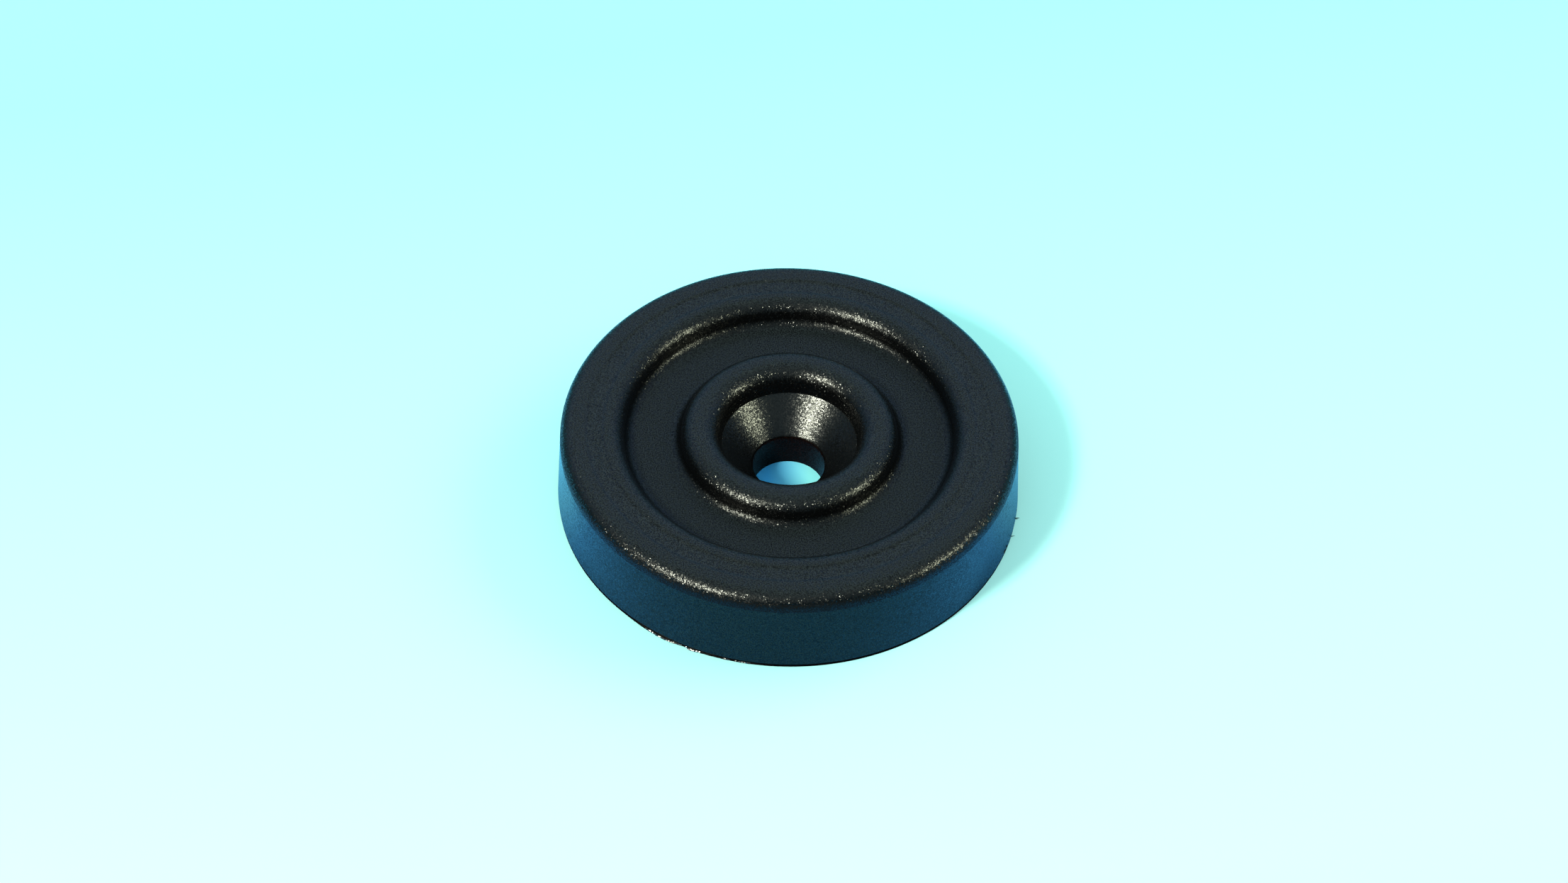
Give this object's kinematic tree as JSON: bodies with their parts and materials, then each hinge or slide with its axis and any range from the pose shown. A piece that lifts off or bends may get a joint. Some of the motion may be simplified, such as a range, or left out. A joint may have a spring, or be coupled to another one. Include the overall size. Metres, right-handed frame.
{
  "type": "plastic foot",
  "caption": "Round moulded plastic foot with a rounded tread, a ring trough and a central boss whose recess and conical seat hide a countersunk screw.",
  "frame": {"origin": "centre of the flat mounting face, on the axis of the screw hole", "axes": "+Z along the screw hole, from the mounting face to the tread; X and Y lie in the mounting face, and the foot is round about Z"},
  "size_m": [0.04, 0.04, 0.0081],
  "materials": {
    "black_plastic": "fine spark-eroded grain on the tread, trough, boss and seat, and a smoother satin side wall with faint draw marks"
  },
  "bodies": {
    "root": {"foot": "black_plastic"}
  },
  "joints": []
}
